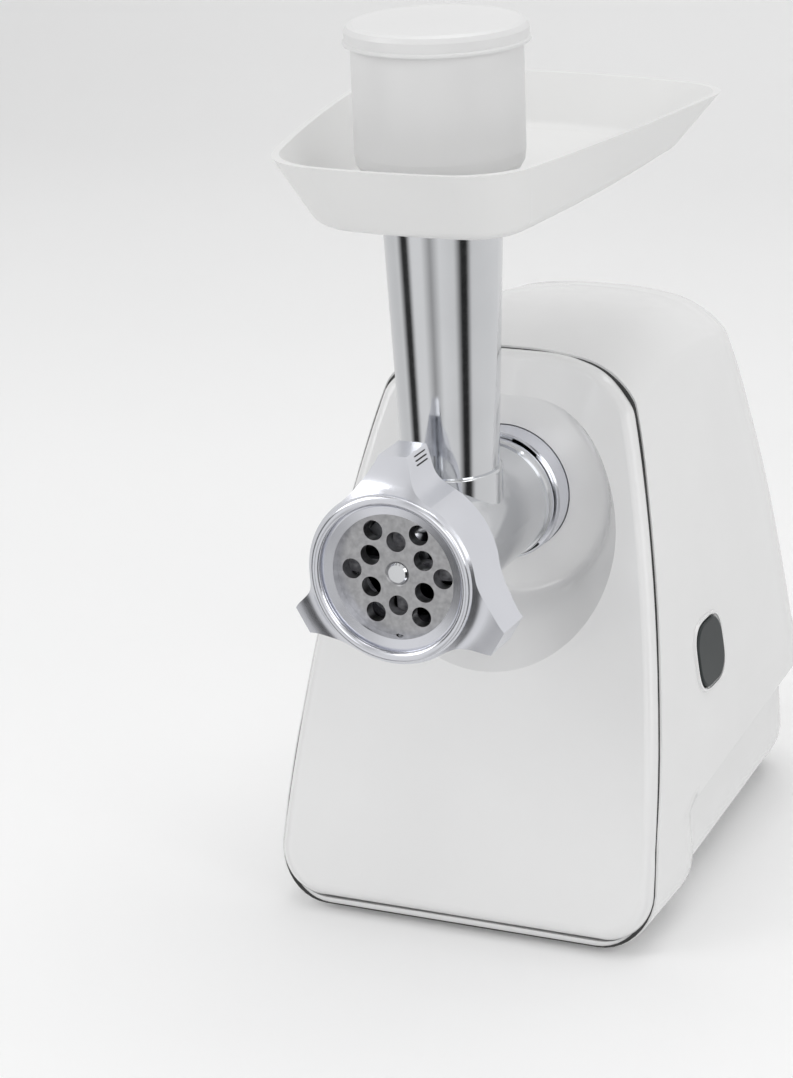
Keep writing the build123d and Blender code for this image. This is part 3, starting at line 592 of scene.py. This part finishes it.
# ------------------------------------------------------------- stage and camera
def make_stage():
    """A pale floor that curves up into a backdrop behind the object."""
    mesh = bpy.data.meshes.new("floor")
    shape = bmesh.new()
    half, front, back, bend, height = 9.0, -9.0, 1.2, 0.8, 3.0
    profile = [(front, 0.0)]
    for step in range(13):
        angle = math.radians(90 * step / 12)
        profile.append((back + bend * math.sin(angle), bend * (1 - math.cos(angle))))
    profile.append((back + bend, height))
    left = [shape.verts.new((-half, y, z)) for y, z in profile]
    right = [shape.verts.new((half, y, z)) for y, z in profile]
    for a in range(len(profile) - 1):
        shape.faces.new((left[a], right[a], right[a + 1], left[a + 1]))
    shape.to_mesh(mesh)
    shape.free()
    for face in mesh.polygons:
        face.use_smooth = True
    floor = bpy.data.objects.new("floor", mesh)
    bpy.context.scene.collection.objects.link(floor)
    graph = Graph("floor_paint", (0.93, 0.93, 0.93), 0.6)
    graph.color(graph.noise(2), (0.92, 0.92, 0.92), (0.94, 0.94, 0.94))
    floor.data.materials.append(graph.material)
    floor.visible_glossy = False


def area_light(name, place, target, size, power, tint=(1, 1, 1)):
    data = bpy.data.lights.new(name, "AREA")
    data.shape = "RECTANGLE"
    data.size, data.size_y = size
    data.energy = power
    data.color = tint
    light = bpy.data.objects.new(name, data)
    light.location = place
    aim = Vector(target) - Vector(place)
    light.rotation_euler = aim.to_track_quat("-Z", "Y").to_euler()
    bpy.context.scene.collection.objects.link(light)


# Brightness of the room around the object, as (part of a full turn, shade).
DARK_BANDS = [(0.03, 0.9), (0.07, 0.04), (0.10, 0.04), (0.13, 1.0), (0.19, 1.0), (0.24, 0.45),
              (0.29, 1.0), (0.37, 0.9), (0.41, 0.03), (0.44, 0.03), (0.47, 0.9), (0.7, 1.0)]

# The camera stands right of the disc, a little above the head.
CAMERA_AT = Vector((0.5059, -1.2055, 0.5979))
CAMERA_RIGHT = Vector((0.9097, 0.4137, -0.0374))
CAMERA_UP = Vector((-0.1042, 0.3145, 0.9435))
CAMERA_LENS = 111.84
ROOM_EDGE = 0.85           # shade where the bands meet, behind -X
ROOM_STRENGTH = 0.78


def make_lights():
    """Soft area lights, and a room whose light and dark bands show in the metal."""
    middle = (0, 0, 0.2)
    area_light("key_left", (-1.5, -1.1, 1.3), middle, (1.0, 1.4), 11)
    area_light("fill_right", (1.7, -0.9, 1.0), middle, (0.9, 1.4), 8)
    area_light("top", (0.1, 0.3, 1.9), middle, (1.4, 1.4), 10)
    area_light("front_low", (0.5, -2.2, 0.9), middle, (1.4, 0.7), 3)
    world = bpy.data.worlds.new("studio")
    bpy.context.scene.world = world
    world.use_nodes = True
    tree = world.node_tree
    background = tree.nodes["Background"]
    coords = tree.nodes.new("ShaderNodeTexCoord")
    split = tree.nodes.new("ShaderNodeSeparateXYZ")
    angle = tree.nodes.new("ShaderNodeMath")
    angle.operation = "ARCTAN2"
    spread = tree.nodes.new("ShaderNodeMapRange")
    spread.inputs["From Min"].default_value = -math.pi
    spread.inputs["From Max"].default_value = math.pi
    ramp = tree.nodes.new("ShaderNodeValToRGB")
    tree.links.new(coords.outputs["Generated"], split.inputs["Vector"])
    tree.links.new(split.outputs["Y"], angle.inputs[0])
    tree.links.new(split.outputs["X"], angle.inputs[1])
    tree.links.new(angle.outputs[0], spread.inputs["Value"])
    tree.links.new(spread.outputs["Result"], ramp.inputs["Fac"])
    tree.links.new(ramp.outputs["Color"], background.inputs["Color"])
    bands = ramp.color_ramp
    bands.elements[0].position = 0.0
    bands.elements[0].color = (ROOM_EDGE, ROOM_EDGE, ROOM_EDGE, 1)
    bands.elements[1].position = 1.0
    bands.elements[1].color = (ROOM_EDGE, ROOM_EDGE, ROOM_EDGE, 1)
    for place, shade in DARK_BANDS:
        bands.elements.new(place).color = (shade, shade, shade, 1)
    background.inputs["Strength"].default_value = ROOM_STRENGTH


def make_camera():
    data = bpy.data.cameras.new("camera")
    data.lens = CAMERA_LENS
    camera = bpy.data.objects.new("camera", data)
    back = CAMERA_RIGHT.cross(CAMERA_UP).normalized()
    right = CAMERA_RIGHT.normalized()
    up = back.cross(right)
    turn = Matrix((right, up, back)).transposed()
    camera.matrix_world = Matrix.Translation(CAMERA_AT) @ turn.to_4x4()
    bpy.context.scene.collection.objects.link(camera)
    bpy.context.scene.camera = camera


make_stage()
make_lights()
make_camera()

scene = bpy.context.scene
scene.view_settings.view_transform = "Standard"
scene.view_settings.look = "None"
